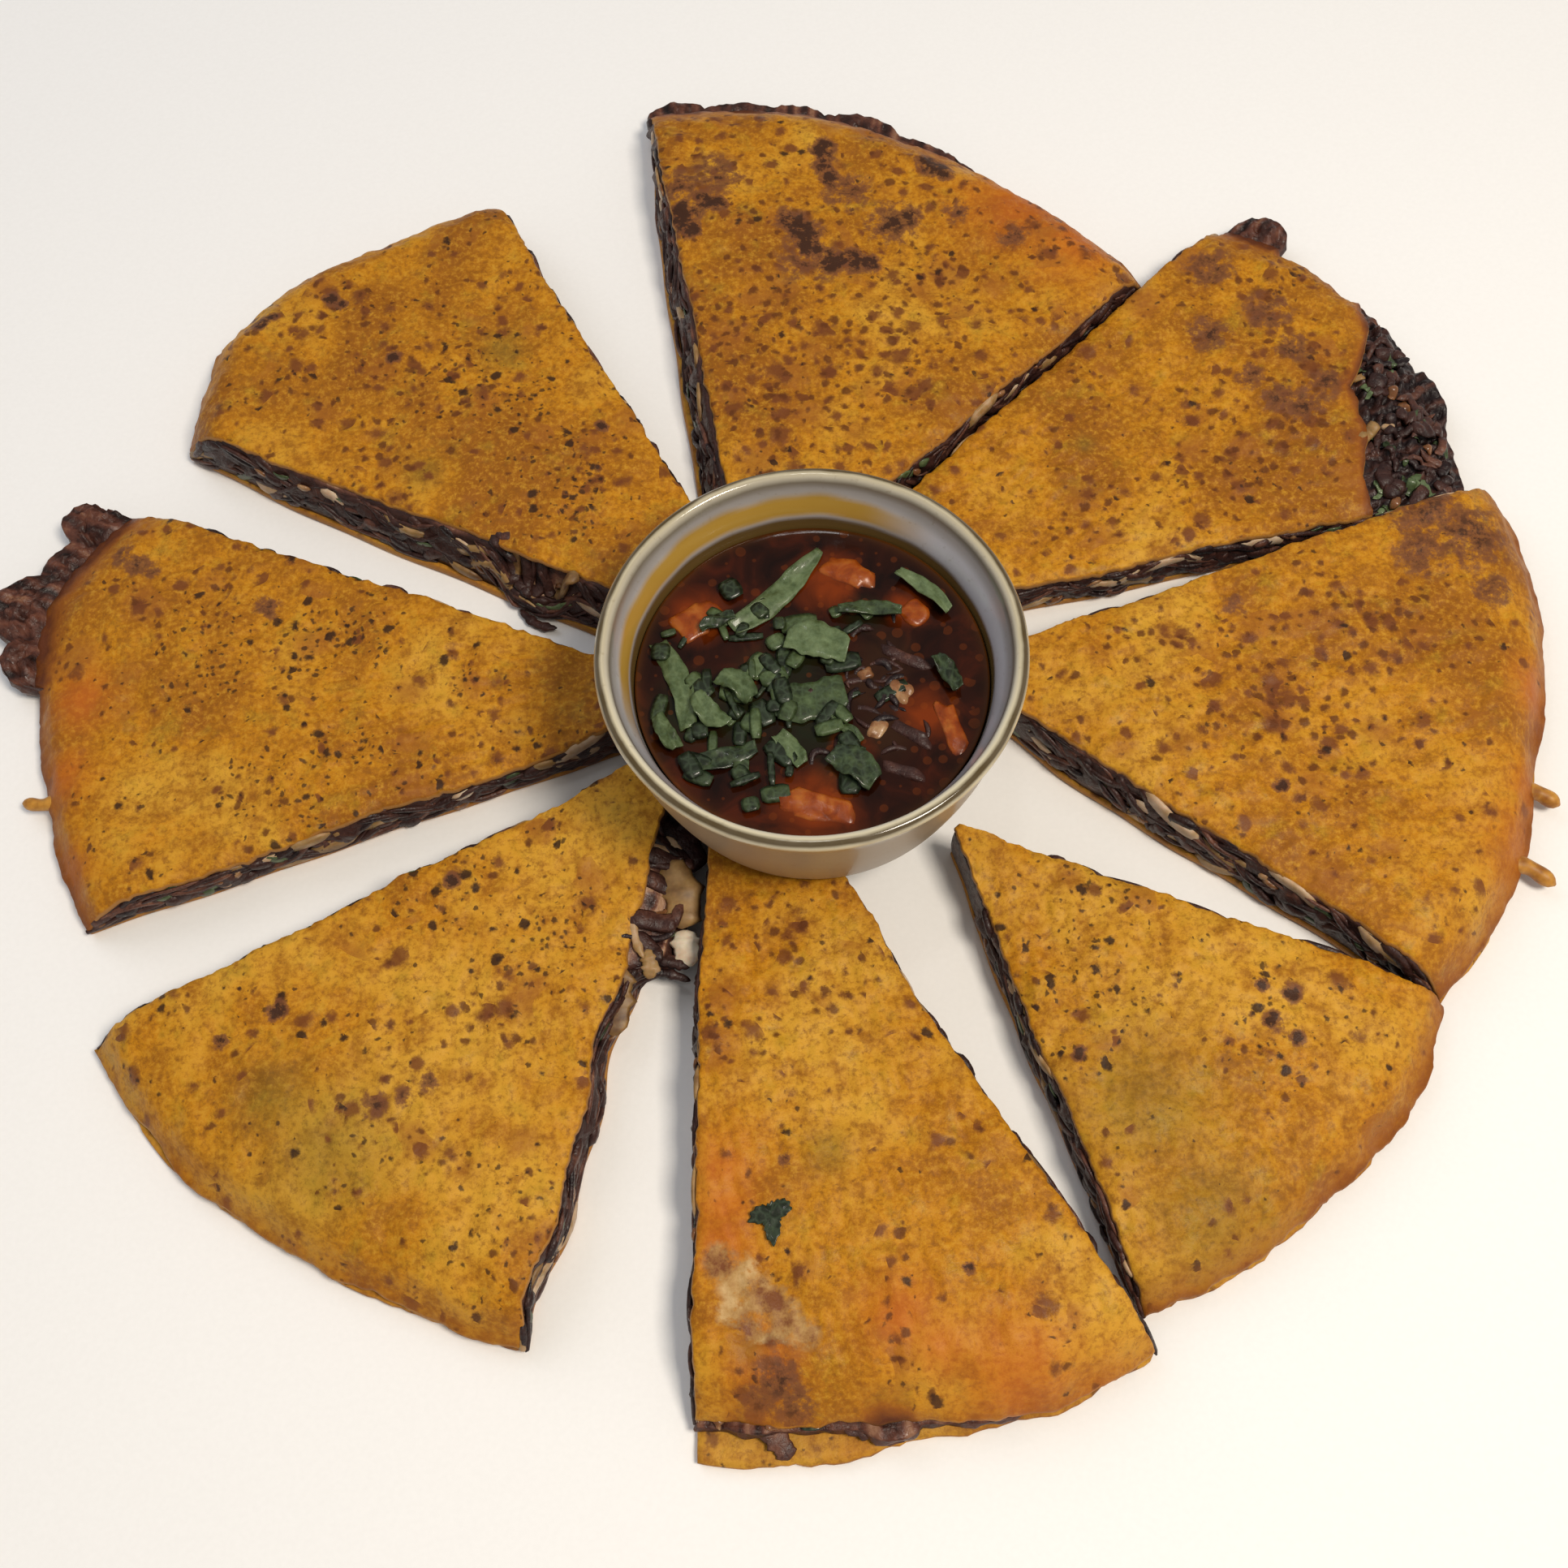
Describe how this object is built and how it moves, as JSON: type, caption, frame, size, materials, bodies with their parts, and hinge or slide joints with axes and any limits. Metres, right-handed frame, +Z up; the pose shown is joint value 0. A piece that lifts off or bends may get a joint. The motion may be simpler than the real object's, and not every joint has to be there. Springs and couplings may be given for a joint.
{
  "type": "birria pizza with consomme cup",
  "caption": "Round birria pizza cut into uneven slices of fried tortilla, beef and cheese, spread in a ring, with a glazed cup of consomme and cilantro standing on their points.",
  "frame": {"origin": "middle of the footprint, on the surface that the slices lie on", "axes": "+Z up; the reference view looks along +Y, downwards"},
  "size_m": [0.3738, 0.36, 0.0558],
  "materials": {
    "fried_tortilla": "oily fried flour tortilla, golden orange with reddish brown blisters and dark char",
    "beef_and_cheese": "moist shredded braised beef with melted pale cheese, onion and cilantro",
    "glazed_stoneware": "glossy white glaze with a brown rim line",
    "consomme": "dark red-brown broth with a wet, oily surface",
    "cilantro": "fresh dark green leaf, wet",
    "carrot": "soft cooked orange pieces, wet",
    "onion": "cooked pale onion, wet",
    "beef": "shredded braised beef, wet"
  },
  "bodies": {
    "root": {"slice_1_lower_tortilla": "fried_tortilla", "slice_1_filling": "beef_and_cheese", "slice_1_upper_tortilla": "fried_tortilla", "slice_2_lower_tortilla": "fried_tortilla", "slice_2_filling": "beef_and_cheese", "slice_2_upper_tortilla": "fried_tortilla", "slice_3_lower_tortilla": "fried_tortilla", "slice_3_filling": "beef_and_cheese", "slice_3_upper_tortilla": "fried_tortilla", "slice_4_lower_tortilla": "fried_tortilla", "slice_4_filling": "beef_and_cheese", "slice_4_upper_tortilla": "fried_tortilla", "slice_5_lower_tortilla": "fried_tortilla", "slice_5_filling": "beef_and_cheese", "slice_5_upper_tortilla": "fried_tortilla", "slice_6_lower_tortilla": "fried_tortilla", "slice_6_filling": "beef_and_cheese", "slice_6_upper_tortilla": "fried_tortilla", "slice_7_lower_tortilla": "fried_tortilla", "slice_7_filling": "beef_and_cheese", "slice_7_upper_tortilla": "fried_tortilla", "slice_8_lower_tortilla": "fried_tortilla", "slice_8_filling": "beef_and_cheese", "slice_8_upper_tortilla": "fried_tortilla", "cup": "glazed_stoneware", "broth": "consomme", "carrot_1": "carrot", "carrot_2": "carrot", "carrot_3": "carrot", "carrot_4": "carrot", "carrot_5": "carrot", "onion_1": "onion", "onion_2": "onion", "onion_3": "onion", "beef_1": "beef", "beef_2": "beef", "beef_3": "beef", "cilantro_1": "cilantro", "cilantro_2": "cilantro", "cilantro_3": "cilantro", "cilantro_4": "cilantro", "cilantro_5": "cilantro", "cilantro_6": "cilantro", "cilantro_7": "cilantro", "cilantro_8": "cilantro", "cilantro_9": "cilantro", "cilantro_10": "cilantro", "cilantro_11": "cilantro", "cilantro_12": "cilantro", "cilantro_13": "cilantro", "cilantro_14": "cilantro", "cilantro_15": "cilantro", "cilantro_leaf": "cilantro"}
  },
  "joints": []
}
